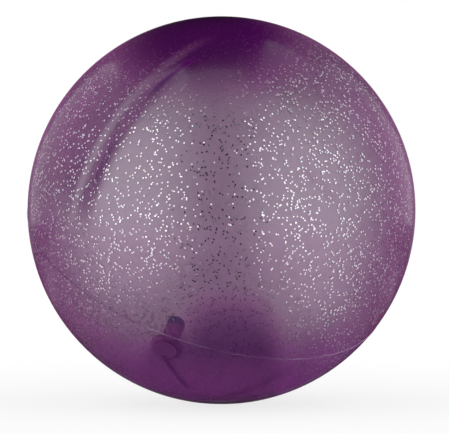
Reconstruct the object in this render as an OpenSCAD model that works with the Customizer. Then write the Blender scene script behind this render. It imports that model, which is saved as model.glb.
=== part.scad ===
// Inflatable glitter play ball: a rotation-moulded vinyl skin with the flash line of its
// two-part mould, a bonded valve sleeve that reaches into the ball, and a push-in stopper.
// Millimetres, +Z up, origin at the middle of the ball, seen from the front along +Y.

/* [Ball] */
// Outside diameter of the blown-up ball
ball_d = 220; // [180:1:260]
// Wall at the waist, where the vinyl is thinnest
wall_waist = 0.7; // [0.5:0.05:1.1]
// Wall at the crown and the sole, where the vinyl pools as it sets
wall_pole = 1.4; // [1.2:0.05:2.4]

/* [Flash line] */
// Distance of the mould's parting plane from the middle of the ball
parting_off = 30; // [15:1:45]
// Width of the raised flash line on the skin
flash_w = 0.9; // [0.5:0.1:1.6]
// Height of the flash line above the skin
flash_h = 0.25; // [0.1:0.05:0.4]
// Lean of the mould's axis from upright, in degrees
mould_lean = 31.3; // [0:0.1:60]
// Side to which the mould's axis leans, in degrees from +X towards +Y
mould_turn = -56; // [-180:1:180]

/* [Valve] */
// Way along the skin from the flash line to the edge of the valve's collar
valve_clear = 5.4; // [3:0.1:30]
// Place of the valve round the mould's axis, in degrees
valve_turn = -40.7; // [-180:0.1:180]
// Wall of the sleeve round the bore that grips the stopper
sleeve_wall = 2.4; // [1.6:0.1:3.4]
// Length of the sleeve's solid tip, below the bore
tip_len = 5.5; // [3:0.1:9]
// Rounding of the sleeve's inner tip
tip_r = 1.4; // [0.6:0.1:2]
// Diameter of the air channel through the solid tip
channel_d = 1.4; // [1:0.1:2]
// Wall of the collar round the seat of the stopper's head
collar_wall = 2; // [1.8:0.1:3]
// Vinyl left below that seat, down to the inner face of the flange
seat_floor = 1.8; // [1.6:0.1:3]
// Width of the flange beyond the collar, where it is bonded to the inside of the skin
flange_lap = 2.7; // [2:0.1:5]
// Slope from the flange down to the sleeve, measured along the sleeve
gusset_h = 1.6; // [1:0.1:3]

/* [Stopper] */
// Diameter of the stopper's flat head
head_d = 8.6; // [7.6:0.1:9.6]
// Thickness of the head at its rim
head_t = 1.3; // [1:0.1:2]
// Diameter of the plain part of the shank
shank_d = 4.2; // [3.2:0.1:5]
// Length of the shank below the head
shank_len = 14; // [11:0.5:15]
// Length of the cone that leads the shank into the bore
nose_len = 2.4; // [1.5:0.1:3]
// Number of sealing ribs
rib_count = 3; // [1:1:4]
// Height of each sealing rib above the shank
rib_h = 0.26; // [0.1:0.02:0.5]
// Length of each sealing rib along the shank
rib_w = 1.1; // [0.8:0.1:1.6]
// Width of the notch beside the head that a fingernail lifts it by
notch_d = 3.2; // [2:0.1:4]

/* [Fits] */
// Gap between the sealing ribs and the bore, on the radius
slide_gap = 0.04; // [0.02:0.01:0.08]
// Gap between the head and its seat, all round and below
seat_gap = 0.1; // [0.05:0.05:0.3]
// Free length of the bore below the tip of the stopper
bore_spare = 1.2; // [0.4:0.1:3]

/* [Hidden] */
$fn = 180;
// Steps round the ball where a small piece ends on its outline
outline_fn = 1440;
// Steps round the small section of the flash line
flash_fn = 24;
ball_r = ball_d / 2;
// How far the two inner spheres are moved apart, so that the wall grows from waist to pole
pool_shift = wall_pole - wall_waist;
cavity_r = ball_r - wall_waist;
// The flash line is the top of a ring that lies in the wall
flash_r = (pow(flash_w / 2, 2) + pow(flash_h, 2)) / (2 * flash_h);
flash_path_r = ball_r + flash_h - flash_r;
parting_angle = acos(-parting_off / ball_r);
// The sleeve takes its bore from the stopper, and its other sizes are built up from that bore
rib_r = shank_d / 2 + rib_h;
bore_d = 2 * (rib_r + slide_gap);
bore_depth = head_t + shank_len + bore_spare;
sleeve_d = bore_d + 2 * sleeve_wall;
sleeve_len = bore_depth + tip_len;
collar_d = head_d + 2 * collar_wall;
flange_d = collar_d + 2 * flange_lap;
flange_depth = head_t + seat_gap + seat_floor;
valve_drop = valve_clear + collar_d / 2;
valve_angle = parting_angle + valve_drop / ball_r * 180 / PI;
head_low = ball_r - head_t;
rib_pitch = (shank_len - nose_len) / (rib_count + 1);
notch_off = head_d / 2;
// Width of the shank's blunt tip and length of a rib's slope, as shares of their own size
nose_share = 0.6;
slope_share = 1 / 3;
// Cuts run past the faces that they open by this much
over = 1;

// Turns a shape drawn along the mould's axis to the mould's place in the ball
module in_mould()
    rotate([0, mould_lean, mould_turn])
        children();

// Turns a shape drawn about +Z to the valve's axis, +Z pointing out of the ball
module on_valve()
    in_mould()
        rotate([0, valve_angle, valve_turn])
            children();

// The air inside: two spheres moved apart, thinnest wall where they cross at the waist
module cavity()
    intersection() {
        translate([0, 0, pool_shift])
            sphere(cavity_r);
        translate([0, 0, -pool_shift])
            sphere(cavity_r);
    }

// The raised line that the joint of the mould leaves round the skin
module flash_line()
    in_mould()
        translate([0, 0, -parting_off * flash_path_r / ball_r])
            rotate_extrude()
                translate([flash_path_r * sin(parting_angle), 0])
                    circle(flash_r, $fn = flash_fn);

module ball_skin()
    color("mediumorchid", 0.6)
        difference() {
            union() {
                sphere(ball_r);
                flash_line();
            }
            cavity();
            on_valve()
                translate([0, 0, ball_r - flange_depth])
                    cylinder(h = flange_depth + over, d = collar_d);
        }

// Tube with a rounded inner tip, drawn from the tip outwards
module sleeve_tube(length, width)
    rotate_extrude() {
        translate([0, tip_r])
            square([width / 2, length - tip_r]);
        square([width / 2 - tip_r, length]);
        translate([width / 2 - tip_r, tip_r])
            circle(tip_r);
    }

// Everything round that is taken out of the sleeve: seat, bore and air channel
module sleeve_bores() {
    translate([0, 0, head_low - seat_gap])
        cylinder(h = head_t + seat_gap + over, d = head_d + 2 * seat_gap);
    translate([notch_off, 0, head_low - seat_gap])
        cylinder(h = head_t + seat_gap + over, d = notch_d);
    translate([0, 0, ball_r - bore_depth])
        cylinder(h = bore_depth, d = bore_d);
    translate([0, 0, ball_r - sleeve_len - over])
        cylinder(h = sleeve_len, d = channel_d);
}

// The collar is flush with the skin: its outer face is part of the ball's own outline
module collar()
    rotate_extrude()
        intersection() {
            circle(ball_r, $fn = outline_fn);
            translate([0, ball_r - flange_depth])
                square([collar_d / 2, flange_depth + over]);
        }

// The flange with its gusset lies against the inside of the skin
module flange()
    intersection() {
        cavity();
        on_valve() {
            translate([0, 0, ball_r - flange_depth])
                cylinder(h = flange_depth, d = flange_d);
            translate([0, 0, ball_r - flange_depth - gusset_h])
                cylinder(h = gusset_h, d1 = sleeve_d, d2 = flange_d);
        }
    }

module valve_sleeve()
    color("rebeccapurple")
        difference() {
            union() {
                flange();
                on_valve() {
                    collar();
                    translate([0, 0, ball_r - sleeve_len])
                        sleeve_tube(sleeve_len - flange_depth + over, sleeve_d);
                }
            }
            on_valve()
                sleeve_bores();
        }

// Corners of one sealing rib's outline, a band with a sloped lead on each side
function rib_corners(top) = [
    [shank_d / 2, top],
    [rib_r, top - rib_w * slope_share],
    [rib_r, top - rib_w * (1 - slope_share)],
    [shank_d / 2, top - rib_w]
];

// The stopper is one turned shape: a head that ends on the ball's outline, a ribbed shank
// and a leading cone
module stopper_plug()
    color("plum")
        on_valve()
            rotate_extrude()
                intersection() {
                    circle(ball_r, $fn = outline_fn);
                    polygon([
                        [0, ball_r + over],
                        [head_d / 2, ball_r + over],
                        [head_d / 2, head_low],
                        [shank_d / 2, head_low],
                        for (i = [1 : rib_count])
                            each rib_corners(head_low - i * rib_pitch + rib_w / 2),
                        [shank_d / 2, head_low - shank_len + nose_len],
                        [shank_d / 2 * nose_share, head_low - shank_len],
                        [0, head_low - shank_len]
                    ]);
                }

ball_skin();
valve_sleeve();
stopper_plug();
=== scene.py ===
"""Inflatable glitter play ball.

A see-through purple vinyl wall with the flash line of its mould, glitter flakes laid in the
wall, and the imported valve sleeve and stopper. Metres, +Z up, seen from the front along +Y.
"""

import math

import bpy
import numpy as np
from bpy.props import FloatProperty, FloatVectorProperty, IntProperty, PointerProperty
from bpy.types import Operator, Panel, PropertyGroup
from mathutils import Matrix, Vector


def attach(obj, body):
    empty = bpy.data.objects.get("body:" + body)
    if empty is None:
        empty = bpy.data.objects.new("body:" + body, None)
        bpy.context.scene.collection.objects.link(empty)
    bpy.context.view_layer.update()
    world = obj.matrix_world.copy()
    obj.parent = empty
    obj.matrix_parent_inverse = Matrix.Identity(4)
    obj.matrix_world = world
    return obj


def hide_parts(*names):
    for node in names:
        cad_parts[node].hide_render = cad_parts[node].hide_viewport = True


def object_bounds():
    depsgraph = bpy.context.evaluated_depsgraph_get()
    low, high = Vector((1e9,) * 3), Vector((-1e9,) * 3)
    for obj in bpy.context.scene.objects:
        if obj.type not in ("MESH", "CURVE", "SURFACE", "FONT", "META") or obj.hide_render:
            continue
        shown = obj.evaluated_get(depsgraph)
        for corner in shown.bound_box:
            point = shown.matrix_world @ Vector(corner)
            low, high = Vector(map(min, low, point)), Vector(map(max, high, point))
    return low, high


bl_info = {
    "name": "Glitter Play Ball",
    "version": (1, 0, 0),
    "blender": (4, 5, 0),
    "location": "View3D > Sidebar > Play Ball",
    "description": "Builds a see-through vinyl play ball with glitter in its wall",
    "category": "Add Mesh",
}

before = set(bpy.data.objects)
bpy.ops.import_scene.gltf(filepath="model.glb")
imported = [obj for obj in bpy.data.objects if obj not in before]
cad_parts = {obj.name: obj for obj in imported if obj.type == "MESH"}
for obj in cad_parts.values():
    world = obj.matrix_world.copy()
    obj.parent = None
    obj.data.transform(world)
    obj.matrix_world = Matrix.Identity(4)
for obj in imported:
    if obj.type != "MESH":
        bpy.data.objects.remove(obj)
CAD_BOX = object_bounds()
BALL_R = round((CAD_BOX[1].z - CAD_BOX[0].z) / 2, 5)

# ---------------------------------------------------------------------------------------
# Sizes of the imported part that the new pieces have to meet, in metres and degrees
# ---------------------------------------------------------------------------------------
WALL_WAIST = 0.0007
WALL_POLE = 0.0014
MOULD_LEAN, MOULD_TURN = 31.3, -56.0
PARTING_OFF = 0.030
VALVE_AXIS = np.array((-0.273931, -0.675712, -0.68438))
COLLAR_R = 0.0063
# Thickness of the wall at the valve's hole
WALL_AT_VALVE = 0.0012

# Middles of the pools of vinyl at crown and sole, where the wall is thicker. The crown's pool
# also holds painted shade, and the sole's pool holds painted light from the floor
CROWN_POOL = (-0.06, -0.45, 0.89)
SOLE_POOL = (0.03, -0.1, -1.0)

# Folds of the skin: the normal of the plane that each follows and its share of the radius from
# the middle, the fold's middle, its reach and half width as shares of the radius, its depth in
# metres and how much painted shade darkens its valley
FOLDS = (
    ((0.6151, -0.709, -0.345), 0.1288, (-0.444, -0.783, 0.435), 0.5, 0.05, 0.0006, 0.23),
    ((0.6151, -0.709, -0.345), 0.1288, (-0.565, -0.795, 0.21), 0.16, 0.025, 0.0003, 0.28),
    ((0.6151, -0.709, -0.345), 0.1288, (-0.243, -0.709, 0.662), 0.19, 0.036, 0.0, 0.34),
    ((0.0913, -0.9512, -0.2947), 0.835, (0.484, -0.868, 0.111), 0.16, 0.03, 0.0002, 0.1),
    ((0.9003, -0.1994, 0.3869), -0.4062, (-0.228, -0.546, -0.806), 0.2, 0.024, 0.0003, 0.3),
    ((0.3309, 0.874, 0.3559), -0.6397, (0.166, -0.442, -0.882), 0.26, 0.045, 0.0002, 0.16),
    ((0.585, 0.811, 0.047), 0.0, (0.65, -0.433, -0.625), 0.09, 0.02, 0.0002, 0.25),
)

# ---------------------------------------------------------------------------------------
# Zones of the skin, the glitter and the stage
# ---------------------------------------------------------------------------------------
# Each zone is a pair: where its smooth band is 0 and where it is 1. Most are shares of the
# ball's radius.
CROWN_ZONE = (0.81, 0.985)
# The sole's zone and the bottom's zone carry painted light from the floor
SOLE_ZONE = (0.56, 0.86)
BOTTOM_ZONE = (-0.8, -1.0)
UPPER_ZONE = (-0.2, 0.1)
SHOULDER_SIDE = (0.02, 0.2)
SHOULDER_UP = (0.45, 0.68)

# The dark patch low on the front, a painted dark reflection of the shaded floor and the unlit gap
# before the ball: the middle of its block and of its lobe, their half axes and the powers of the
# two distances, and how its edge and its foot soften
PATCH_BLOCK, BLOCK_ZONE = (0.045, -0.92, 0.24, 0.48, 3, 4), (1.9, 0.1)
PATCH_LOBE, LOBE_ZONE = (-0.17, -0.86, 0.24, 0.29, 2, 2), (1.5, 0.5)
PATCH_FOOT = (-0.66, -0.86)

# The long fold: the dull skin beyond it, and its crest with its way from the valley
BEYOND_ACROSS, BEYOND_ALONG = (0.07, -0.005), (0.62, 0.42)
CREST_OFF, CREST_ACROSS, CREST_ALONG = -0.09, (0.05, 0.0), (0.7, 0.38)

# Zones in metres: the front of the patch along Y, the flash line across it, its part with a
# painted highlight along X, and depths below the mouth of the valve
PATCH_FRONT = (0.0, -0.03)
LINE_ZONE = (0.00055, 0.00025)
LIT_LINE_ZONE = (-0.046, -0.034)
TIP_ZONE = (0.0158, 0.0172)
FLANGE_ZONE = (0.007, 0.0055)
OUTLINE_ZONE = (BALL_R - 0.0003, BALL_R - 0.0001)

# Zones of the facing, which is 0 where a face is seen square on and 1 where edge on
HAZE_FACING = (0.67, 0.17)
SIDE_FACING = (0.25, 0.75)
EDGE_FACING = (0.82, 0.88)
FLAKE_FACING = (0.2, 0.5)

# Zones of a noise: clouds in the skin and in the valve, and wear of the flash line
SKIN_CLOUDS = (0.3, 0.7)
VALVE_CLOUDS = (0.35, 0.65)
LINE_WEAR = (0.3, 0.55)

# How much one mask on the skin takes from or adds to another, in shares
# The long fold's crest lightens the crown's painted shade as a painted highlight, and adds haze
CREST_LIGHTENS_SHADE, CREST_HAZE = 0.4, 0.75
LOBE_STRENGTH, FOOT_CLEARS_PATCH = 0.88, 0.65
SHOULDER_CLEARS_HAZE, SHOULDER_CLEARS_SIDE, SHOULDER_CLEARS_COAT = 0.85, 0.5, 0.95
# The folds' valleys deepen the crown's painted shade and take coat from it
VALLEY_SHADE_GAIN, VALLEY_CLEARS_COAT = 3.0, 1.8
# The flash line's left part, in painted shade, is drawn stronger
PATCH_HIDES_LINE, LEAST_WEAR, SHADED_LINE_GAIN = 0.6, 0.55, 1.6

# Heights in metres: the orange peel, the grain of the sleeve and that of the stopper; and
# the share of the folds' depth that the outside shows
PEEL_HEIGHT, SLEEVE_GRAIN, STOPPER_GRAIN = 0.00004, 0.00003, 0.00002
OUTSIDE_FOLDS = 0.25

# Dyes of the glitter: places along a ramp and their colours
SILVER_DYE = ((0.3, (0.97, 0.95, 0.95)), (0.5, (0.93, 0.95, 0.94)), (0.7, (0.98, 0.97, 1.0)))
PEARL_DYE = (
    (0.25, (1.0, 0.84, 0.93)),
    (0.4, (0.98, 0.95, 0.84)),
    (0.5, (0.97, 0.97, 0.98)),
    (0.62, (0.76, 0.95, 0.98)),
    (0.78, (0.93, 0.86, 1.0)),
)
# Least and most size of a flake as shares of the usual one, and the radius about the valve
# that stays clear of flakes, in collar radii
FLAKE_SIZES = (0.85, 1.12)
FLAKE_CLEARANCE = 1.25

WHITE = (1.0, 1.0, 1.0)
# Radius of the dark studio, in metres, and the heights and depths of its bands
ROOM_R = 1.05
ROOM_HIGH, ROOM_FRONT = (0.05, 0.45), (0.1, -0.3)
# Distance from the ball over which the floor turns white
FLOOR_ZONE = (0.06, 0.45)
# The table card: its gap and the side of it, its ring near the ball and the ball's foot, its
# front, and its back, given by the distance to the side and the depth
CARD_GAP, CARD_SIDE = (-0.012, 0.02), (0.0, 0.12)
CARD_NEAR, CARD_FOOT = (0.135, 0.25), (0.11, 0.085)
CARD_FRONT = (0.08, -0.09)
CARD_BACK_SIDE, CARD_BACK_DEPTH = (0.15, 0.25), (0.35, 0.2)


def unit(vectors):
    """The vector, or each row of several, at length one."""
    vectors = np.asarray(vectors, float)
    return vectors / np.linalg.norm(vectors, axis=-1, keepdims=True)


def mould_axis():
    """The mould's axis: +Z leaned over by the lean and then swung round to the turn."""
    lean, turn = math.radians(MOULD_LEAN), math.radians(MOULD_TURN)
    return np.array(
        (
            math.sin(lean) * math.cos(turn),
            math.sin(lean) * math.sin(turn),
            math.cos(lean),
        )
    )


def cavity_radius(up):
    """Distance from the middle to the air inside, along directions whose Z is up.

    Half of the cavity is a sphere moved along Z by the pooled vinyl, so the distance is the
    root of a^2 - s^2 (1 - up^2), less s |up|, with a the sphere's radius and s its shift."""
    shift = WALL_POLE - WALL_WAIST
    reach = BALL_R - WALL_WAIST
    return np.sqrt(reach**2 - shift**2 * (1 - up**2)) - shift * np.abs(up)


# ---------------------------------------------------------------------------------------
# Meshes
# ---------------------------------------------------------------------------------------
def mesh_object(
    name, points, faces, materials, face_material=None, smooth=True, sharp_rings=()
):
    """One object at the origin from an array of points and a list of face arrays, each with
    one row of point numbers to a face. Edges within a sharp ring of points stay crisp."""
    mesh = bpy.data.meshes.new(name)
    sizes = np.concatenate([np.full(len(f), f.shape[1], np.int32) for f in faces])
    corners = np.concatenate([f.ravel() for f in faces]).astype(np.int32)
    starts = np.concatenate(([0], np.cumsum(sizes)[:-1])).astype(np.int32)
    mesh.vertices.add(len(points))
    mesh.vertices.foreach_set("co", np.asarray(points, np.float32).ravel())
    mesh.loops.add(len(corners))
    mesh.loops.foreach_set("vertex_index", corners)
    mesh.polygons.add(len(sizes))
    mesh.polygons.foreach_set("loop_start", starts)
    mesh.polygons.foreach_set("loop_total", sizes)
    for material in materials:
        mesh.materials.append(material)
    if face_material is not None:
        mesh.polygons.foreach_set("material_index", face_material.astype(np.int32))
    mesh.polygons.foreach_set("use_smooth", np.full(len(sizes), smooth))
    mesh.update(calc_edges=True)
    if sharp_rings:
        ends = np.empty(len(mesh.edges) * 2, np.int32)
        mesh.edges.foreach_get("vertices", ends)
        ends = ends.reshape(-1, 2)
        sharp = np.zeros(len(ends), bool)
        for first, last in sharp_rings:
            sharp |= ((ends >= first) & (ends < last)).all(axis=1)
        mesh.attributes.new("sharp_edge", "BOOLEAN", "EDGE").data.foreach_set("value", sharp)
    if mesh.validate(verbose=False):
        raise RuntimeError(f"{name}: the mesh had faults")
    piece = bpy.data.objects.new(name, mesh)
    bpy.context.scene.collection.objects.link(piece)
    return piece


def ring_quads(first, second, count):
    """Quads between closed rings of count points: from the rings that start at the points in
    first to the rings that start at the points in second."""
    here = np.arange(count)
    nxt = (here + 1) % count
    first, second = np.reshape(first, (-1, 1)), np.reshape(second, (-1, 1))
    corners = [first + here, second + here, second + nxt, first + nxt]
    return np.stack(corners, axis=-1).reshape(-1, 4)


def fan(tip, ring, count):
    """Triangles from the point tip to the closed ring of count points that starts at ring."""
    here = ring + np.arange(count)
    return np.stack([np.full(count, tip), here, np.roll(here, -1)], axis=1)


def valve_frame():
    """Two directions square to the valve's axis and to each other, the first towards the
    mould's axis."""
    side = unit(mould_axis() - (mould_axis() @ VALVE_AXIS) * VALVE_AXIS)
    return side, np.cross(VALVE_AXIS, side)


def on_sphere(polar, turn):
    """Unit directions at a polar angle from the valve's axis and a turn about it: the cosine
    of the polar angle along the axis and its sine along the turned side direction."""
    side, across = valve_frame()
    around = np.cos(turn)[..., None] * side + np.sin(turn)[..., None] * across
    return np.cos(polar)[..., None] * VALVE_AXIS + np.sin(polar)[..., None] * around


def polar_of_parting(turn, offset):
    """Polar angle at which each turn about the valve meets the circle that lies an angle
    offset above the mould's parting line: the solution of A cos p + B sin p = C, with A and
    B the mould axis's parts along the valve's axis and the turned side, and C its height."""
    side, across = valve_frame()
    axis = mould_axis()
    along = axis @ VALVE_AXIS
    beside = np.cos(turn) * (axis @ side) + np.sin(turn) * (axis @ across)
    height = np.cos(np.arccos(-PARTING_OFF / BALL_R) - offset)
    reach = np.hypot(along, beside)
    polar = np.arctan2(beside, along) - np.arccos(np.clip(height / reach, -1, 1))
    return np.mod(polar, 2 * np.pi)


def flash_profile(settings):
    """Offsets from the parting line and heights above the skin of the rings that draw it: a
    round bead, and beside it the fine groove where the mould's halves stand out of line."""
    half, height = settings.flash_width / 2, settings.flash_height
    arc = (half**2 + height**2) / (2 * height)
    bead = np.linspace(-half, half, 9)
    rise = np.sqrt(arc**2 - bead**2) - (arc - height)
    beside = 1.6 * half
    groove = settings.groove_offset + settings.groove_width * np.linspace(-0.5, 0.5, 5)
    sink = -settings.groove_depth * np.array((0.0, 0.6, 1.0, 0.6, 0.0))
    offsets = np.concatenate(([-beside], bead, [beside], groove))
    heights = np.concatenate(([0.0], rise, [0.0], sink))
    return offsets / BALL_R, heights


def build_wall(settings, outer_material, inner_material):
    """The skin as one closed shell round the valve's hole.

    Its rings start at the hole, run out to the parting line, which a group of rings follows
    exactly, and close at the far pole. The inner face has fewer rings and lies at the
    cavity's radius, so the wall is thickest at crown and sole."""
    count = settings.turns
    turn = np.arange(count) * 2 * np.pi / count
    offsets, heights = flash_profile(settings)
    hole = math.asin((COLLAR_R + settings.collar_gap) / BALL_R)
    at_line = [polar_of_parting(turn, -o) for o in offsets]
    order = np.argsort([a.mean() for a in at_line])
    at_line = [at_line[i] for i in order]
    heights = heights[order]
    near = np.linspace(0, 1, settings.rings_near, endpoint=False)[:, None]
    far = np.linspace(0, 1, settings.rings_far, endpoint=False)[1:, None]
    polar = np.concatenate(
        [
            hole + (at_line[0] - hole) * near,
            np.array(at_line),
            at_line[-1] + (np.pi - at_line[-1]) * far,
        ]
    )
    radius = np.full(polar.shape, BALL_R)
    first = settings.rings_near
    radius[first : first + len(heights)] += heights[:, None]
    outer = on_sphere(polar, turn) * radius[..., None]

    share = np.linspace(0, 1, settings.rings_inner, endpoint=False)[:, None]
    inner_hole = math.asin((COLLAR_R + settings.collar_gap) / (BALL_R - WALL_AT_VALVE))
    ways = on_sphere(inner_hole + (np.pi - inner_hole) * share, turn)
    inner = ways * (cavity_radius(ways[..., 2]) + settings.flange_gap)[..., None]

    far_way = -VALVE_AXIS
    far_outer = far_way * BALL_R
    far_inner = far_way * (cavity_radius(far_way[2]) + settings.flange_gap)
    points = np.concatenate(
        [outer.reshape(-1, 3), inner.reshape(-1, 3), [far_outer, far_inner]]
    )
    outer_rings = np.arange(len(outer)) * count
    inner_rings = (len(outer) + np.arange(len(inner))) * count
    tip = len(points) - 2
    faces = [
        ring_quads(outer_rings[:-1], outer_rings[1:], count),
        ring_quads(inner_rings[1:], inner_rings[:-1], count),
        ring_quads(inner_rings[0], 0, count),
        fan(tip, outer_rings[-1], count)[:, ::-1],
        fan(tip + 1, inner_rings[-1], count),
    ]
    return mesh_object(
        "glitter_ball_wall",
        points,
        faces,
        [outer_material, inner_material],
        np.repeat((0, 1, 1, 0, 1), [len(f) for f in faces]),
        sharp_rings=[(0, count), (inner_rings[0], inner_rings[1])],
    )


def flake_places(settings, seed, wanted):
    """Directions of the flakes on the ball: a share is spread evenly at random and the rest
    is gathered in small swarms, as flakes settle when the vinyl flows in the mould."""
    rng = np.random.default_rng(seed)
    drawn = wanted * 2
    spread = unit(rng.normal(size=(drawn, 3)))
    swarms = unit(rng.normal(size=(settings.swarms, 3)))
    member = rng.integers(0, settings.swarms, drawn)
    scatter = rng.normal(size=(drawn, 3)) * (settings.swarm_size / BALL_R)
    gathered = unit(swarms[member] + scatter)
    pick = rng.random(drawn) < settings.swarm_share
    ways = np.where(pick[:, None], gathered, spread)
    clear = ways @ VALVE_AXIS < math.cos(FLAKE_CLEARANCE * COLLAR_R / BALL_R)
    return ways[clear][:wanted], rng


def build_flakes(name, settings, seed, wanted, material):
    """Thin six-sided prisms in the wall, those of one finish as one mesh.

    Each flake's middle lies at its direction times the ball's radius less its depth. Its
    two axes are square to a normal that leans a little from that direction, and its corners
    are the middle plus the axes times cosine and sine of the six angles, plus and minus half
    its thickness along the normal."""
    ways, rng = flake_places(settings, seed, wanted)
    count = len(ways)
    depth = rng.uniform(settings.depth_least, settings.depth_most, count)
    middle = ways * (BALL_R - depth)[:, None]
    lean = rng.normal(size=(count, 3)) * math.radians(settings.lean)
    lean -= (lean * ways).sum(1)[:, None] * ways
    size = np.linalg.norm(lean, axis=1)[:, None]
    lean *= np.minimum(1, math.radians(settings.lean_most) / np.maximum(size, 1e-9))
    normal = unit(ways + lean)
    first = unit(np.cross(normal, rng.normal(size=(count, 3))))
    second = np.cross(normal, first)
    corners = 6
    angle = (np.arange(corners) * 2 * np.pi / corners)[None, :, None]
    width = settings.flake_width / 2 * rng.uniform(*FLAKE_SIZES, count)
    outline = (np.cos(angle) * first[:, None] + np.sin(angle) * second[:, None]) * width[
        :, None, None
    ]
    half = normal[:, None] * settings.flake_thickness / 2
    top = middle[:, None] + outline + half
    bottom = middle[:, None] + outline - half
    points = np.concatenate([top, bottom], axis=1).reshape(-1, 3)
    start = (np.arange(count) * 2 * corners)[:, None]
    here = np.arange(corners)
    nxt = (here + 1) % corners
    upper = start + here
    lower = start + corners + here[::-1]
    rim = np.stack([here, here + corners, nxt + corners, nxt], axis=1)
    sides = (start[:, :, None] + rim[None]).reshape(-1, 4)
    piece = mesh_object(name, points, [upper, lower, sides], [material], smooth=False)
    tone = piece.data.attributes.new("flake_tone", "FLOAT", "POINT")
    tone.data.foreach_set("value", np.repeat(rng.random(count), 2 * corners).astype(np.float32))
    return piece


# ---------------------------------------------------------------------------------------
# Shader maths
# ---------------------------------------------------------------------------------------
class Term:
    """A socket of a node tree, with the sums on it written as Python sums."""

    def __init__(self, shader, socket):
        self.shader = shader
        self.socket = socket

    def _math(self, operation, *others):
        return self.shader.node(
            "ShaderNodeMath", {"operation": operation}, dict(enumerate((self, *others)))
        )

    def __add__(self, other):
        return self._math("ADD", other)

    __radd__ = __add__

    def __sub__(self, other):
        return self._math("SUBTRACT", other)

    def __rsub__(self, other):
        return self * -1.0 + other

    def __mul__(self, other):
        return self._math("MULTIPLY", other)

    __rmul__ = __mul__

    def __truediv__(self, other):
        return self._math("DIVIDE", other)

    def __pow__(self, other):
        return self._math("POWER", other)

    def __abs__(self):
        return self._math("ABSOLUTE")

    def larger(self, other):
        return self._math("MAXIMUM", other)

    def band(self, low, high):
        """0 where the value is at low and 1 where it is at high, held beyond them."""
        return self.shader.node(
            "ShaderNodeMapRange",
            {"interpolation_type": "SMOOTHSTEP"},
            {"Value": self, "From Min": low, "From Max": high},
        )

    def _vector_math(self, operation, *others):
        inputs = dict(enumerate((self, *others)))
        return self.shader.node(
            "ShaderNodeVectorMath", {"operation": operation}, inputs, "Value"
        )

    def length(self):
        return self._vector_math("LENGTH")

    def dot(self, vector):
        return self._vector_math("DOT_PRODUCT", vector)

    def distance(self, vector):
        return self._vector_math("DISTANCE", vector)


class Shader:
    """A material's or the world's node tree, filled node by node."""

    def __init__(self, owner):
        owner.use_nodes = True
        self.owner = owner
        self.tree = owner.node_tree
        self.tree.nodes.clear()

    @classmethod
    def material(cls, name):
        """The tree of a new material."""
        return cls(bpy.data.materials.new(name))

    def node(self, kind, settings=None, inputs=None, output=0):
        """Adds a node, sets its settings, then its sockets, and returns one output."""
        made = self.tree.nodes.new(kind)
        for name, value in (settings or {}).items():
            if name == "stops":
                ramp = made.color_ramp.elements
                while len(ramp) < len(value):
                    ramp.new(0.5)
                for stop, (place, colour) in zip(ramp, value):
                    stop.position = place
                    stop.color = (*colour, 1.0)
            else:
                setattr(made, name, value)
        for key, value in (inputs or {}).items():
            socket = made.inputs[key]
            if isinstance(value, Term):
                self.tree.links.new(value.socket, socket)
            elif socket.type == "RGBA":
                socket.default_value = (*value, 1.0)
            elif socket.type == "VECTOR":
                socket.default_value = tuple(value)
            else:
                socket.default_value = value
        return Term(self, made.outputs[output])

    def place(self):
        """The point on the piece, in metres in the ball's own frame."""
        return self.node("ShaderNodeTexCoord", output="Object")

    def noise(self, place, scale, detail=3.0, roughness=0.5, distortion=0.0):
        inputs = {
            "Vector": place,
            "Scale": scale,
            "Detail": detail,
            "Roughness": roughness,
            "Distortion": distortion,
        }
        return self.node("ShaderNodeTexNoise", {}, inputs, "Fac")

    def part(self, vector, axis):
        return self.node("ShaderNodeSeparateXYZ", {}, {0: vector}, axis)

    def ramp(self, value, stops):
        return self.node("ShaderNodeValToRGB", {"stops": stops}, {"Fac": value}, "Color")

    def blend(self, factor, low, high):
        """A colour between low and high, by the factor."""
        return self.node(
            "ShaderNodeMix", {"data_type": "RGBA"}, {0: factor, 6: low, 7: high}, 2
        )

    def bump(self, height, distance):
        return self.node("ShaderNodeBump", {}, {"Height": height, "Distance": distance})

    def surface(self, closure, end="ShaderNodeOutputMaterial"):
        """Ends the tree with its surface, and returns the material or world it belongs to."""
        output = self.tree.nodes.new(end)
        self.tree.links.new(closure.socket, output.inputs["Surface"])
        return self.owner


# ---------------------------------------------------------------------------------------
# Masks on the ball
# ---------------------------------------------------------------------------------------
def facing(shader):
    """0 where the wall is seen square on, 1 where it is seen along its length."""
    return shader.node("ShaderNodeLayerWeight", {}, {"Blend": 0.5}, "Facing")


def share_of_radius(shader, place, axis):
    """The place's part along an axis as a share of the ball's radius."""
    return shader.part(place, axis) / BALL_R


def across_plane(place, along, off):
    """Distance from the plane with the normal along, off from the middle, both as shares of
    the radius."""
    return place.dot(unit(along)) / BALL_R - off


def away_from(place, middle):
    """Distance from a place on the skin, given by its direction, as a share of the radius."""
    return place.distance(unit(middle) * BALL_R) / BALL_R


def folds(place):
    """The folds that the skin keeps from lying flat: the painted shade in each valley, and its
    height, as valleys below the sphere.

    Each fold follows a plane through the ball. Its valley is a smooth band across the
    distance from that plane, and fades out away from the fold's middle."""
    dark, height = 0.0, 0.0
    for along, off, middle, reach, width, depth, darkness in FOLDS:
        fade = away_from(place, middle).band(reach, reach * 0.5)
        valley = abs(across_plane(place, along, off)).band(width, 0.0) * fade
        dark = dark + valley * darkness
        height = height - valley * depth
    return dark, height


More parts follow.
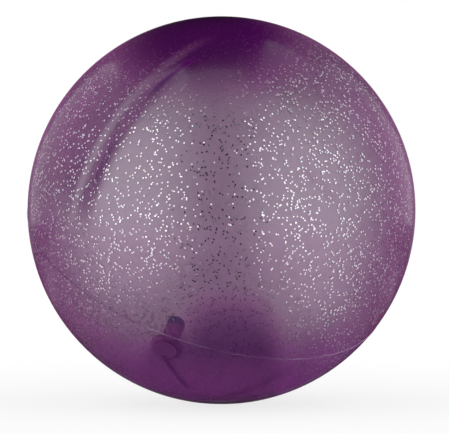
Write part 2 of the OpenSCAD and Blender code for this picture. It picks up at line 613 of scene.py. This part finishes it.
def long_fold(place):
    """The long fold at the upper left: 1 in the dull zone beyond it, and 1 on its crest."""
    along, off, middle = FOLDS[0][:3]
    across, away = across_plane(place, along, off), away_from(place, middle)
    beyond = across.band(*BEYOND_ACROSS) * away.band(*BEYOND_ALONG)
    crest = abs(across - CREST_OFF).band(*CREST_ACROSS) * away.band(*CREST_ALONG)
    return beyond, crest


def pools(place):
    """Where the vinyl has pooled: 1 in the pool at the crown and in the one at the sole, and 0 at
    an angle from their middles, which lie a little to the front. The crown's mask carries painted
    shade, lightened along the long fold's crest as a painted highlight; the sole's mask carries
    painted light from the floor."""
    crown = across_plane(place, CROWN_POOL, 0.0).band(*CROWN_ZONE)
    sole = across_plane(place, SOLE_POOL, 0.0).band(*SOLE_ZONE)
    return crown * (1 - long_fold(place)[1] * CREST_LIGHTENS_SHADE), sole


def pooled(crown, sole, at_waist, at_crown, at_sole):
    """A share that goes from its waist value to its values in the two pools."""
    return at_waist + crown * (at_crown - at_waist) + sole * (at_sole - at_waist)


def painted_shade_patch(shader, place):
    """The patch of painted shade low on the front, a painted dark reflection of the shaded floor
    and the unlit gap before the ball: 1 inside a rounded block or the smaller lobe at its left,
    on the skin's front half, 0 outside them, and weaker at its foot. The level of each is the sum
    of a power of the two distances from its middle, as shares of its half axes."""
    side, up = (share_of_radius(shader, place, axis) for axis in "XZ")

    def level(side_at, up_at, half_side, half_up, side_power, up_power):
        return (
            abs((side - side_at) / half_side) ** side_power
            + abs((up - up_at) / half_up) ** up_power
        )

    inside = level(*PATCH_BLOCK).band(*BLOCK_ZONE)
    inside = inside.larger(level(*PATCH_LOBE).band(*LOBE_ZONE) * LOBE_STRENGTH)
    inside = inside * shader.part(place, "Y").band(*PATCH_FRONT)
    return inside * (1 - up.band(*PATCH_FOOT) * FOOT_CLEARS_PATCH)


def clear_shoulder(shader, place):
    """1 on the clear shoulder at the upper right of the ball and 0 left of it and below."""
    side, up = (share_of_radius(shader, place, axis) for axis in "XZ")
    return side.band(*SHOULDER_SIDE) * up.band(*SHOULDER_UP)


def haze(shader, place):
    """How milky the inside is: 1 where it is seen square on and 0 towards its sides. Beyond
    the long fold it has little bloom, but for a faint crest along it."""
    beyond, crest = long_fold(place)
    shoulder = clear_shoulder(shader, place)
    bloom = (1 - beyond) * (1 - shoulder * SHOULDER_CLEARS_HAZE)
    return bloom * facing(shader).band(*HAZE_FACING) + crest * CREST_HAZE


def on_flash_line(place):
    """1 on the flash line and 0 off it. Its colour is a painted highlight on its right part and
    painted shade on its left part.
    """
    return abs(place.dot(mould_axis()) + PARTING_OFF).band(*LINE_ZONE)


def on_outline(place):
    """1 on the faces that are part of the ball's own outline, 0 below it."""
    return place.length().band(*OUTLINE_ZONE)


# ---------------------------------------------------------------------------------------
# Materials
# ---------------------------------------------------------------------------------------
def shades(colour, low, high):
    """A darker and a lighter shade of a colour."""
    return tuple(c * low for c in colour), tuple(min(1.0, c * high) for c in colour)


def body_purple(shader, place, look, plain_colour, clouds, crown, sole):
    """The vinyl's cloudy purple, with painted shade at the crown, painted light from the floor at
    the sole, and more painted floor light at the very bottom."""
    mottled = clouds.band(*SKIN_CLOUDS)
    plain = shader.blend(mottled, *shades(plain_colour, 0.8, 1.2))
    # Painted light from the floor: brighter purple at the sole, brighter still at the very bottom
    low = shader.blend(mottled, *shades(look.sole_lit_colour, 0.85, 1.15))
    bottom = share_of_radius(shader, place, "Z").band(*BOTTOM_ZONE)
    low = shader.blend(bottom, low, look.bottom_lit_colour)
    return shader.blend(crown, shader.blend(sole, plain, low), look.crown_shade_colour)


def see_through(shader, share, tint, solid):
    """Vinyl of which a share is solid, with the sockets given, and the rest lets light
    through with a tint."""
    solid = shader.node("ShaderNodeBsdfPrincipled", {}, solid)
    clear = shader.node("ShaderNodeBsdfTransparent", {}, {"Color": tint})
    mixed = shader.node("ShaderNodeMixShader", {}, {0: share, 1: clear, 2: solid})
    return shader.surface(mixed)


def outer_vinyl(look):
    """The clear, polished outside of the wall with its orange peel, folds and flash line.

    Where the wall is seen along its length, at the edge of the ball, it lets hardly any
    light by."""
    shader = Shader.material("glitter_vinyl_outside")
    place = shader.place()
    clouds = shader.noise(place, 17.0, detail=4.0, roughness=0.55, distortion=0.6)
    drift = shader.noise(place, 55.0)
    crown, sole = pools(place)
    dark, height = folds(place)
    worn = shader.noise(place, 60.0, detail=2.0).band(*LINE_WEAR).larger(LEAST_WEAR)
    line = on_flash_line(place) * worn
    # The flash line's colour: painted shade on its left part, a painted highlight on its right
    # part
    pale = shader.part(place, "X").band(*LIT_LINE_ZONE)
    painted_line_colour = shader.blend(pale, look.crown_shade_colour, look.painted_line_colour)
    # Painted shade of the crown, deepened by the painted shade in the folds' valleys
    pool = crown.larger(dark * VALLEY_SHADE_GAIN)
    patch = painted_shade_patch(shader, place)
    gain = SHADED_LINE_GAIN - pale * (SHADED_LINE_GAIN - 1)
    trace = line * look.line_share * (1 - patch * PATCH_HIDES_LINE) * gain
    # The solid share rises in the crown, the dark patch and the valleys, which deepens their
    # painted shade, and on the flash line
    solid = (
        pooled(crown, patch, look.outer_waist, look.outer_crown, look.outer_sole)
        + (clouds - 0.5) * 0.05
        + dark
        + trace
    )
    colour = body_purple(shader, place, look, look.edge_colour, clouds, pool, sole)
    # Painted shade of the dark patch
    colour = shader.blend(patch, colour, look.patch_shade_colour)
    colour = shader.blend(trace / solid.larger(0.01), colour, painted_line_colour)
    edge = facing(shader)
    shoulder = clear_shoulder(shader, place)
    share = (
        solid
        + edge.band(*SIDE_FACING) * look.side_share * (1 - shoulder * SHOULDER_CLEARS_SIDE)
        + edge.band(*EDGE_FACING) * look.edge_share
    )
    peel = shader.noise(place, 420.0, detail=2.0) * PEEL_HEIGHT
    coat = (
        crown * (1 - dark * VALLEY_CLEARS_COAT) * (1 - shoulder * SHOULDER_CLEARS_COAT)
    )
    polished = {
        "Base Color": colour,
        "Roughness": look.shine_roughness + (drift - 0.5) * 0.06 + line * 0.2,
        "IOR": look.vinyl_ior,
        "Coat Weight": coat,
        "Coat Roughness": look.shine_roughness,
        "Coat IOR": look.shine_ior,
        "Normal": shader.bump(peel + height * OUTSIDE_FOLDS, 1.0),
    }
    return see_through(shader, share, look.outer_tint, polished)


def inner_vinyl(look):
    """The dull inside of the wall: it gives the ball its purple and its milky haze."""
    shader = Shader.material("glitter_vinyl_inside")
    place = shader.place()
    clouds = shader.noise(place, 24.0, distortion=0.4)
    crown, sole = pools(place)
    share = (
        pooled(crown, sole, look.inner_waist, look.inner_crown, look.inner_sole)
        + share_of_radius(shader, place, "Z").band(*UPPER_ZONE) * look.upper_share
        + (clouds - 0.5) * 0.06
    )
    milky = {
        "Base Color": body_purple(shader, place, look, look.body_colour, clouds, crown, sole),
        "Roughness": look.pool_roughness + clouds * 0.15,
        "IOR": look.vinyl_ior,
        "Coat Weight": haze(shader, place) * (1 - sole),
        "Coat Roughness": look.haze_roughness,
        "Coat IOR": look.haze_ior,
        "Normal": shader.bump(folds(place)[1], 1.0),
    }
    return see_through(shader, share, look.inner_tint, milky)


def flake_metal(name, dye):
    """Mirror film with a thin clear dye, a little different on each flake and changing
    slowly from place to place."""
    shader = Shader.material(name)
    tone = shader.node("ShaderNodeAttribute", {"attribute_name": "flake_tone"}, {}, "Fac")
    drift = shader.noise(shader.place(), 22.0, detail=2.0)
    mirror = {
        "Base Color": shader.ramp(drift * 0.7 + tone * 0.3, dye),
        "Metallic": 1.0,
        "Roughness": 0.07 + tone * 0.12 + facing(shader).band(*FLAKE_FACING) * 0.35,
    }
    return shader.surface(shader.node("ShaderNodeBsdfPrincipled", {}, mirror))


def moulded_vinyl(shader, look, share, tint, colour, clouds, grain):
    """Soft vinyl of the valve's pieces, cloudy and with a fine moulded grain."""
    satin = {
        "Base Color": colour,
        "Roughness": look.haze_roughness + (clouds - 0.5) * 0.1,
        "IOR": look.vinyl_ior,
        "Normal": grain,
    }
    return see_through(shader, share, tint, satin)


def sleeve_vinyl(look):
    """Soft vinyl of the valve sleeve, like the skin at its mouth and flange, cloudy round the
    bore and dark where its tip is solid."""
    shader = Shader.material("sleeve_vinyl")
    place = shader.place()
    depth = BALL_R - place.dot(VALVE_AXIS)
    tip = depth.band(*TIP_ZONE)
    mouth = on_outline(place)
    clouds = shader.noise(place, 160.0)
    colour = shader.blend(clouds.band(*VALVE_CLOUDS), *shades(look.sleeve_colour, 0.8, 1.2))
    colour = shader.blend(tip, colour, look.tip_colour)
    colour = shader.blend(depth.band(*FLANGE_ZONE), colour, look.flange_colour)
    colour = shader.blend(mouth, colour, look.mouth_colour)
    share = (
        look.sleeve_share
        + tip * (look.tip_share - look.sleeve_share)
        + mouth * (look.mouth_share - look.sleeve_share)
        + (clouds - 0.5) * 0.06
    )
    grain = shader.bump(shader.noise(place, 900.0, detail=2.0), SLEEVE_GRAIN)
    return moulded_vinyl(shader, look, share, look.sleeve_tint, colour, clouds, grain)


def stopper_vinyl(look):
    """Firmer vinyl of the stopper, the ball's own purple with a fine moulded grain."""
    shader = Shader.material("stopper_vinyl")
    place = shader.place()
    head = on_outline(place)
    clouds = shader.noise(place, 220.0)
    colour = shader.blend(clouds.band(*VALVE_CLOUDS), *shades(look.stopper_colour, 0.8, 1.2))
    colour = shader.blend(head, colour, look.mouth_colour)
    share = (
        look.stopper_share
        + head * (look.mouth_share - look.stopper_share)
        + (clouds - 0.5) * 0.1
    )
    grain = shader.bump(shader.noise(place, 1400.0, detail=2.0), STOPPER_GRAIN)
    return moulded_vinyl(shader, look, share, look.stopper_tint, colour, clouds, grain)


# ---------------------------------------------------------------------------------------
# Stage
# ---------------------------------------------------------------------------------------
def seen_directly(shader):
    """1 for what the camera, a shine or glass sees, and 0 for what lights the object."""
    path = shader.node("ShaderNodeLightPath", output="Is Camera Ray")
    light_path = path.socket.node
    glossy = Term(shader, light_path.outputs["Is Glossy Ray"])
    through = Term(shader, light_path.outputs["Is Transmission Ray"])
    return path.larger(glossy).larger(through)


def flat_rings(radii, height, count):
    """Points and quads of a flat disc with a hole: for each radius a closed ring of points at
    its cosine and sine of count even turns, and quads from each ring to the next."""
    turn = np.arange(count) * 2 * np.pi / count
    radius = np.array(radii)[:, None]
    level = np.full((len(radii), count), height)
    rings = np.stack([radius * np.cos(turn), radius * np.sin(turn), level], axis=2)
    starts = np.arange(len(radii)) * count
    return rings.reshape(-1, 3), ring_quads(starts[:-1], starts[1:], count)


def build_floor(stage):
    """A round pale floor that keeps the ball's shadow and turns plain white further out."""
    count = 96
    rings, quads = flat_rings((0.25, 0.6, 1.2, 2.5, 5.0, 9.0), -BALL_R, count)
    points = np.concatenate([rings, [(0, 0, -BALL_R)]])
    shader = Shader.material("pale_floor")
    place = shader.place()
    colour = shader.blend(shader.noise(place, 9.0), (0.84, 0.84, 0.84), (0.88, 0.88, 0.88))
    plain = shader.node("ShaderNodeBsdfDiffuse", {}, {"Color": colour})
    white = shader.node("ShaderNodeEmission", {}, {"Color": WHITE, "Strength": 1.0})
    away = place.length().band(*FLOOR_ZONE)
    further = stage.floor_white + away * (1 - stage.floor_white)
    share = further * seen_directly(shader)
    mixed = shader.node("ShaderNodeMixShader", {}, {0: share, 1: plain, 2: white})
    faces = [quads, fan(len(rings), 0, count)]
    floor = mesh_object("pale_floor", points, faces, [shader.surface(mixed)])


def shine_card(name, points, quads, shader, level):
    """A glowing card of the studio that only shines see."""
    glow = shader.node("ShaderNodeEmission", {}, {"Color": WHITE, "Strength": level})
    card = mesh_object(name, points, [quads], [shader.surface(glow)])
    card.visible_camera = False
    card.visible_diffuse = False
    card.visible_transmission = False
    card.visible_shadow = False


def build_room(stage):
    """Dark studio walls that only shines see, greyer low behind the ball than in front and
    above. They are part of a sphere: sine and cosine of the turn times cosine of the rise,
    and sine of the rise, times the radius."""
    turn, rise = np.meshgrid(
        np.radians(np.linspace(-180, 180, 97)), np.radians(np.linspace(-7, 89.9, 20))
    )
    walls = ROOM_R * np.stack(
        [np.sin(turn) * np.cos(rise), -np.cos(turn) * np.cos(rise), np.sin(rise)], axis=2
    )
    at = np.arange(turn.size).reshape(turn.shape)
    quads = np.stack([at[:-1, :-1], at[:-1, 1:], at[1:, 1:], at[1:, :-1]], axis=-1)
    shader = Shader.material("dark_studio")
    place = shader.place()
    high = shader.part(place, "Z").band(*ROOM_HIGH)
    front = shader.part(place, "Y").band(*ROOM_FRONT)
    level = stage.room_side + high.larger(front) * (stage.room_top - stage.room_side)
    shine_card("dark_studio", walls.reshape(-1, 3), quads.reshape(-1, 4), shader, level)


def build_table_card(stage):
    """The table as shines see it: a card just above the floor, black in the gap between the
    panels, pale in front of them, and grey close to the ball and behind it.

    It is a flat disc of rings. Its level is worked out from the place: the distance from the
    ball, the side distance less the gap's slope times the front distance, and the depth."""
    points, quads = flat_rings((0.012, 0.1, 0.3, 0.6, 1.06), -BALL_R + 0.0006, 128)
    shader = Shader.material("table_card")
    place = shader.place()
    away = place.length()
    x, y = shader.part(place, "X"), shader.part(place, "Y")
    side = abs(x)
    gap = (side + y * math.tan(math.radians(stage.gap_right))).band(*CARD_GAP)
    outer = (side + y * 0.1).band(*CARD_SIDE)
    # Darker near the ball: the ball's shadow on the table, painted into the card
    near = (away + x.larger(0.0) * 0.5).band(*CARD_NEAR)
    foot = away.band(*CARD_FOOT)
    pale = gap * outer * y.band(*CARD_FRONT) * (stage.card_far - stage.card_gap)
    back = side.band(*CARD_BACK_SIDE) * y.band(*CARD_BACK_DEPTH) * stage.card_back
    far = (stage.card_gap + pale).larger(back)
    level = (
        stage.card_near
        + near * (far - stage.card_near)
        + foot * (stage.card_foot - stage.card_near)
    )
    shine_card("table_card", points, quads, shader, level)


def area_lamp(name, place, aim, width, height, radiance, colour):
    """A soft rectangular lamp. Its power is its radiance times pi times its area."""
    data = bpy.data.lights.new(name, "AREA")
    data.shape = "RECTANGLE"
    data.size, data.size_y = width, height
    data.energy = radiance * math.pi * width * height
    data.color = colour
    lamp = bpy.data.objects.new(name, data)
    bpy.context.scene.collection.objects.link(lamp)
    lamp.location = place
    lamp.rotation_euler = (Vector(aim) - Vector(place)).to_track_quat("-Z", "Y").to_euler()
    lamp.visible_camera = False
    return lamp


def build_panels(stage):
    """Two tall panels left and right of the camera with a gap between them, and a taller one
    beyond each. They stand on a circle and face the ball's axis."""
    distance = stage.panel_distance
    panel = (stage.panel_bottom, stage.panel_top)
    side = (stage.side_bottom, stage.side_top)
    for name, from_edge, to_edge, (bottom, top), radiance in (
        ("panel_left", -stage.panel_outer, -stage.gap_left, panel, stage.left_radiance),
        ("panel_right", stage.gap_right, stage.panel_outer, panel, stage.right_radiance),
        ("side_left", -stage.side_outer, -stage.panel_outer, side, stage.side_left_radiance),
        ("side_right", stage.panel_outer, stage.side_outer, side, stage.side_right_radiance),
    ):
        middle = math.radians((from_edge + to_edge) / 2)
        half = math.radians((to_edge - from_edge) / 2)
        z = (bottom + top) / 2
        place = (distance * math.sin(middle), -distance * math.cos(middle), z)
        width = 2 * distance * math.tan(half)
        area_lamp(name, place, (0, 0, z), width, top - bottom, radiance, stage.panel_tint)


def build_overheads(stage):
    """Three panels overhead that end straight above the ball, the middle one dim, and one
    behind the right of them that only shines see."""
    gap, wide = stage.overhead_gap, stage.overhead_width
    aside, width = (gap + wide) / 2, wide - gap
    end = stage.overhead_rear
    front, rear = end - stage.overhead_depth, end + stage.overhead_extra
    back = rear + stage.shine_depth
    bright, dim = stage.overhead_radiance, stage.middle_radiance
    for name, x, width, from_y, to_y, radiance in (
        ("overhead_left", -aside, width, front, rear, bright),
        ("overhead_right", aside, width, front, rear, bright),
        ("overhead_middle", 0.0, 2 * gap, front, end, dim),
        ("overhead_shine", aside, width, rear, back, stage.shine_radiance),
    ):
        y, z = (from_y + to_y) / 2, stage.overhead_height
        depth = to_y - from_y
        lamp = area_lamp(name, (x, y, z), (x, y, 0), width, depth, radiance, stage.panel_tint)
        lamp.visible_diffuse = name != "overhead_shine"


def build_world(stage):
    """A white surround where it is looked at, and a dim one where it lights the object."""
    world = bpy.data.worlds.new("studio")
    bpy.context.scene.world = world
    shader = Shader(world)
    strength = stage.fill + seen_directly(shader) * (1 - stage.fill)
    inputs = {"Color": WHITE, "Strength": strength}
    shader.surface(shader.node("ShaderNodeBackground", {}, inputs), "ShaderNodeOutputWorld")


def build_camera(stage):
    """A level camera in front of the ball, with the photograph's small shift."""
    data = bpy.data.cameras.new("camera")
    data.lens = stage.lens
    data.sensor_width = 36.0
    data.shift_x = stage.shift_x
    data.shift_y = stage.shift_y
    data.clip_start, data.clip_end = 0.01, 50.0
    camera = bpy.data.objects.new("camera", data)
    camera.location = (0, -stage.camera_distance, 0)
    camera.rotation_euler = (math.pi / 2, 0, 0)
    bpy.context.scene.collection.objects.link(camera)
    bpy.context.scene.camera = camera


# ---------------------------------------------------------------------------------------
# Settings
# ---------------------------------------------------------------------------------------
def length(name, description, default):
    """A length in metres."""
    return FloatProperty(
        name=name, description=description, default=default, unit="LENGTH", precision=5
    )


def number(name, description, default):
    """A plain number."""
    return FloatProperty(name=name, description=description, default=default, precision=3)


def whole(name, description, default):
    """A whole number."""
    return IntProperty(name=name, description=description, default=default, min=1)


def tint(name, description, default):
    """A linear colour."""
    return FloatVectorProperty(
        name=name, description=description, default=default, subtype="COLOR", size=3, min=0, max=1
    )


class BallWallSettings(PropertyGroup):
    flash_width: length("Flash line width", "Width of the raised line", 0.0009)
    flash_height: length("Flash line height", "Height of the raised line", 0.00025)
    groove_offset: length("Groove offset", "Way from the line to the groove", 0.0017)
    groove_width: length("Groove width", "Width of the groove beside the line", 0.0008)
    groove_depth: length("Groove depth", "Depth of the groove beside the line", 0.00012)
    collar_gap: length("Collar gap", "Gap round the valve's collar", 0.00003)
    flange_gap: length("Flange gap", "Gap above the valve's flange", 0.00003)
    turns: whole("Points round", "Points in each ring", 400)
    rings_near: whole("Rings near", "Rings from the valve to the flash line", 56)
    rings_far: whole("Rings far", "Rings from the flash line to the far pole", 84)
    rings_inner: whole("Rings inside", "Rings of the inner face", 48)


class GlitterSettings(PropertyGroup):
    silver_flakes: whole("Silver flakes", "Number of silver flakes in the wall", 9600)
    pearl_flakes: whole("Pearl flakes", "Number of pearl flakes in the wall", 7400)
    seed: whole("Seed", "Start of the random numbers", 7)
    flake_width: length("Flake width", "Width over corners", 0.0009)
    flake_thickness: length("Flake thickness", "Thickness", 0.00004)
    depth_least: length("Least depth", "Depth of the shallowest flakes", 0.00016)
    depth_most: length("Most depth", "Depth of the deepest flakes", 0.0005)
    lean: number("Lean", "Usual lean of a flake, in degrees", 4.2)
    lean_most: number("Most lean", "Most that a flake leans, in degrees", 10.0)
    swarms: whole("Swarms", "Number of swarms", 2600)
    swarm_size: length("Swarm size", "Spread of one swarm", 0.0028)
    swarm_share: number("Swarm share", "Share of the flakes that lie in swarms", 0.4)


class LookSettings(PropertyGroup):
    body_colour: tint("Vinyl colour", "Colour of the solid vinyl", (0.06, 0.004, 0.062))
    # The crown colour is painted shade, darker than the vinyl's own purple
    crown_shade_colour: tint("Crown colour", "Colour of the pool at the crown", (0.07, 0.001, 0.086))
    edge_colour: tint("Edge colour", "Colour of the wall seen edge on", (0.32, 0.065, 0.27))
    # The patch colour is painted shade, a dark reflection painted on the skin
    patch_shade_colour: tint("Patch colour", "Colour of the dark patch in front", (0.08, 0.013, 0.1))
    # The sole and bottom colours are painted light from the floor, brighter than the vinyl's own
    # purple
    sole_lit_colour: tint("Sole colour", "Colour of the pool at the sole", (0.26, 0.047, 0.27))
    bottom_lit_colour: tint("Bottom colour", "Colour at the very bottom", (0.5, 0.085, 0.52))
    outer_tint: tint("Outer tint", "Tint of light through the outside", (0.975, 0.942, 0.975))
    inner_tint: tint("Inner tint", "Tint of light through the inside", (0.835, 0.645, 0.825))
    # The crown's solid shares stand for its thicker vinyl and also deepen its painted shade
    outer_waist: number("Outside, waist", "Share of the outside that is solid", 0.02)
    outer_crown: number("Outside, crown", "The same at the crown", 0.66)
    # The outside's sole share is the share of the painted shade patch
    outer_sole: number("Outside, sole", "The same in the dark patch at the sole", 0.72)
    inner_waist: number("Inside, waist", "Share of the inside that is solid", 0.53)
    upper_share: number("Inside, upper half", "Share that it gains above the middle", 0.07)
    inner_crown: number("Inside, crown", "The same at the crown", 0.97)
    # The inside's sole share carries the sole's painted floor light
    inner_sole: number("Inside, sole", "The same at the sole", 0.8)
    side_share: number("Side share", "Share that the outside gains towards its sides", 0.3)
    edge_share: number("Edge share", "Share that it gains where it is seen edge on", 0.8)
    vinyl_ior: number("Vinyl", "Index of refraction of the vinyl itself", 1.35)
    shine_roughness: number("Shine roughness", "Roughness of the outside", 0.14)
    shine_ior: number("Shine", "Index of refraction of the outside's shine", 2.6)
    haze_roughness: number("Haze roughness", "Roughness of the milky inside", 0.46)
    pool_roughness: number("Inside roughness", "Roughness of the inside below its haze", 0.3)
    haze_ior: number("Haze", "Index of refraction that gives the milky haze", 3.35)
    # The flash line's pale colour is a painted highlight
    painted_line_colour: tint("Flash line colour", "Colour of the flash line", (0.62, 0.4, 0.64))
    line_share: number("Flash line share", "Share of the flash line that is solid", 0.27)
    sleeve_colour: tint("Sleeve colour", "Colour of the sleeve", (0.75, 0.25, 0.8))
    sleeve_tint: tint("Sleeve tint", "Tint of light through the sleeve", (0.98, 0.94, 0.98))
    sleeve_share: number("Sleeve share", "Share of the sleeve that is solid", 0.7)
    flange_colour: tint("Flange colour", "Colour of the sleeve's flange", (0.32, 0.09, 0.34))
    mouth_share: number("Mouth share", "Share of the valve's outer faces that is solid", 0.93)
    mouth_colour: tint("Mouth colour", "Colour of the valve's outer faces", (0.125, 0.02, 0.13))
    tip_colour: tint("Tip colour", "Colour of the sleeve's solid tip", (0.13, 0.001, 0.4))
    tip_share: number("Tip share", "Share of the sleeve's tip that is solid", 0.95)
    stopper_colour: tint("Stopper colour", "Colour of the stopper", (0.17, 0.007, 0.18))
    stopper_tint: tint("Stopper tint", "Tint of light through the stopper", (0.97, 0.92, 0.97))
    stopper_share: number("Stopper share", "Share of the stopper that is solid", 0.6)


class StageSettings(PropertyGroup):
    camera_distance: length("Camera distance", "From the middle of the ball", 1.32)
    lens: number("Lens", "Focal length in millimetres", 186.0)
    shift_x: number("Shift X", "Sideways shift of the view", 0.0067)
    shift_y: number("Shift Y", "Upward shift of the view", -0.0151)
    panel_distance: length("Panel distance", "From the ball to the panels", 0.7)
    gap_left: number("Gap, left", "Left panel's inner edge, in degrees", 19.0)
    gap_right: number("Gap, right", "Right panel's inner edge, in degrees", 14.0)
    panel_outer: number("Panel outer edge", "Degrees from the camera", 78.0)
    side_outer: number("Side outer edge", "Degrees from the camera", 148.0)
    panel_bottom: length("Panel bottom", "Height of the lower edge", -0.1)
    panel_top: length("Panel top", "Height of the upper edge", 0.74)
    left_radiance: number("Left level", "Radiance of the left panel", 1.43)
    right_radiance: number("Right level", "Radiance of the right panel", 1.32)
    side_bottom: length("Side bottom", "Height of the side panels' lower edge", -0.04)
    side_top: length("Side top", "Height of the side panels' upper edge", 1.3)
    side_left_radiance: number("Side left level", "Radiance of the left side panel", 1.0)
    side_right_radiance: number("Side right level", "Radiance of the right side panel", 1.05)
    panel_tint: tint("Lamp tint", "Colour of the lamps", (0.94, 1.0, 0.96))
    overhead_height: length("Overhead height", "Height of the overhead panels", 0.76)
    overhead_rear: length("Overhead rear", "Rear edge of the overhead panels", -0.08)
    overhead_depth: length("Overhead depth", "Reach towards the camera", 0.62)
    overhead_extra: length("Overhead extra", "Further reach back of the outer two", 0.08)
    overhead_gap: length("Overhead gap", "Half width of the middle panel", 0.2)
    overhead_width: length("Overhead width", "Half width of all three panels", 0.7)
    overhead_radiance: number("Overhead level", "Radiance of the outer two", 0.62)
    middle_radiance: number("Middle level", "Radiance of the middle panel", 0.18)
    shine_depth: length("Shine depth", "Depth of the panel behind the right one", 0.45)
    shine_radiance: number("Shine level", "Radiance of that panel, which only shines see", 0.66)
    fill: number("Fill", "Strength of the surround as a light", 0.3)
    floor_white: number("Floor white", "White share of the floor by the ball", 0.78)
    room_side: number("Room sides", "Level of the dark studio low behind the ball", 0.1)
    room_top: number("Room top", "Level of the dark studio in front and above", 0.004)
    # The card's level near the ball is the ball's painted shadow
    card_near: number("Card near", "Level of the table card near the ball", 0.035)
    card_foot: number("Card foot", "Level of the table card at the ball's foot", 0.3)
    card_far: number("Card far", "Level of the table card in front of the panels", 1.05)
    card_gap: number("Card gap", "Level of the table card in the gap and behind", 0.02)
    card_back: number("Card back", "Level of the table card beside and behind the ball", 0.45)


# ---------------------------------------------------------------------------------------
# Operators
# ---------------------------------------------------------------------------------------
class PLAYBALL_OT_stage(Operator):
    """Camera, floor, lamps and surround"""

    bl_idname = "playball.stage"
    bl_label = "Build Stage"

    def execute(self, context):
        stage = context.scene.playball_stage
        build_camera(stage)
        build_floor(stage)
        build_room(stage)
        build_table_card(stage)
        build_panels(stage)
        build_overheads(stage)
        build_world(stage)
        context.scene.view_settings.view_transform = "Standard"
        return {"FINISHED"}


class PLAYBALL_OT_wall(Operator):
    """Vinyl wall of the ball with its flash line and the valve's hole"""

    bl_idname = "playball.wall"
    bl_label = "Build Wall"

    def execute(self, context):
        look = context.scene.playball_look
        wall = build_wall(
            context.scene.playball_wall, outer_vinyl(look), inner_vinyl(look)
        )
        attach(wall, "ball")
        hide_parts("ball_skin")
        return {"FINISHED"}


class PLAYBALL_OT_glitter(Operator):
    """Glitter flakes laid in the wall"""

    bl_idname = "playball.glitter"
    bl_label = "Build Glitter"

    def execute(self, context):
        glitter = context.scene.playball_glitter
        for name, dye, seed, wanted in (
            ("glitter_silver", SILVER_DYE, glitter.seed, glitter.silver_flakes),
            ("glitter_pearl", PEARL_DYE, glitter.seed + 1, glitter.pearl_flakes),
        ):
            material = flake_metal(name, dye)
            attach(build_flakes(name, glitter, seed, wanted, material), "ball")
        return {"FINISHED"}


class PLAYBALL_OT_valve(Operator):
    """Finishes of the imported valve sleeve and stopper"""

    bl_idname = "playball.valve"
    bl_label = "Finish Valve"

    def execute(self, context):
        look = context.scene.playball_look
        for node, material in (
            ("valve_sleeve", sleeve_vinyl(look)),
            ("stopper_plug", stopper_vinyl(look)),
        ):
            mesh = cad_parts[node].data
            mesh.materials.clear()
            mesh.materials.append(material)
        return {"FINISHED"}


class PLAYBALL_PT_panel(Panel):
    """Lists the steps that build the ball"""

    bl_idname = "PLAYBALL_PT_panel"
    bl_label = "Play Ball"
    bl_space_type = "VIEW_3D"
    bl_region_type = "UI"
    bl_category = "Play Ball"

    def draw(self, context):
        for name, operator in (
            ("playball_stage", "playball.stage"),
            ("playball_wall", "playball.wall"),
            ("playball_glitter", "playball.glitter"),
            ("playball_look", "playball.valve"),
        ):
            box = self.layout.box()
            settings = getattr(context.scene, name)
            for field in settings.bl_rna.properties:
                if field.identifier not in ("rna_type", "name"):
                    box.prop(settings, field.identifier)
            box.operator(operator)


CLASSES = (
    BallWallSettings,
    GlitterSettings,
    LookSettings,
    StageSettings,
    PLAYBALL_OT_stage,
    PLAYBALL_OT_wall,
    PLAYBALL_OT_glitter,
    PLAYBALL_OT_valve,
    PLAYBALL_PT_panel,
)
SETTINGS = {
    "playball_wall": BallWallSettings,
    "playball_glitter": GlitterSettings,
    "playball_look": LookSettings,
    "playball_stage": StageSettings,
}


def register():
    for kind in CLASSES:
        bpy.utils.register_class(kind)
    for name, kind in SETTINGS.items():
        setattr(bpy.types.Scene, name, PointerProperty(type=kind))


def unregister():
    for name in SETTINGS:
        delattr(bpy.types.Scene, name)
    for kind in reversed(CLASSES):
        bpy.utils.unregister_class(kind)


def main():
    register()
    bpy.ops.playball.stage()
    bpy.ops.playball.wall()
    bpy.ops.playball.glitter()
    bpy.ops.playball.valve()


if __name__ == "__main__":
    main()
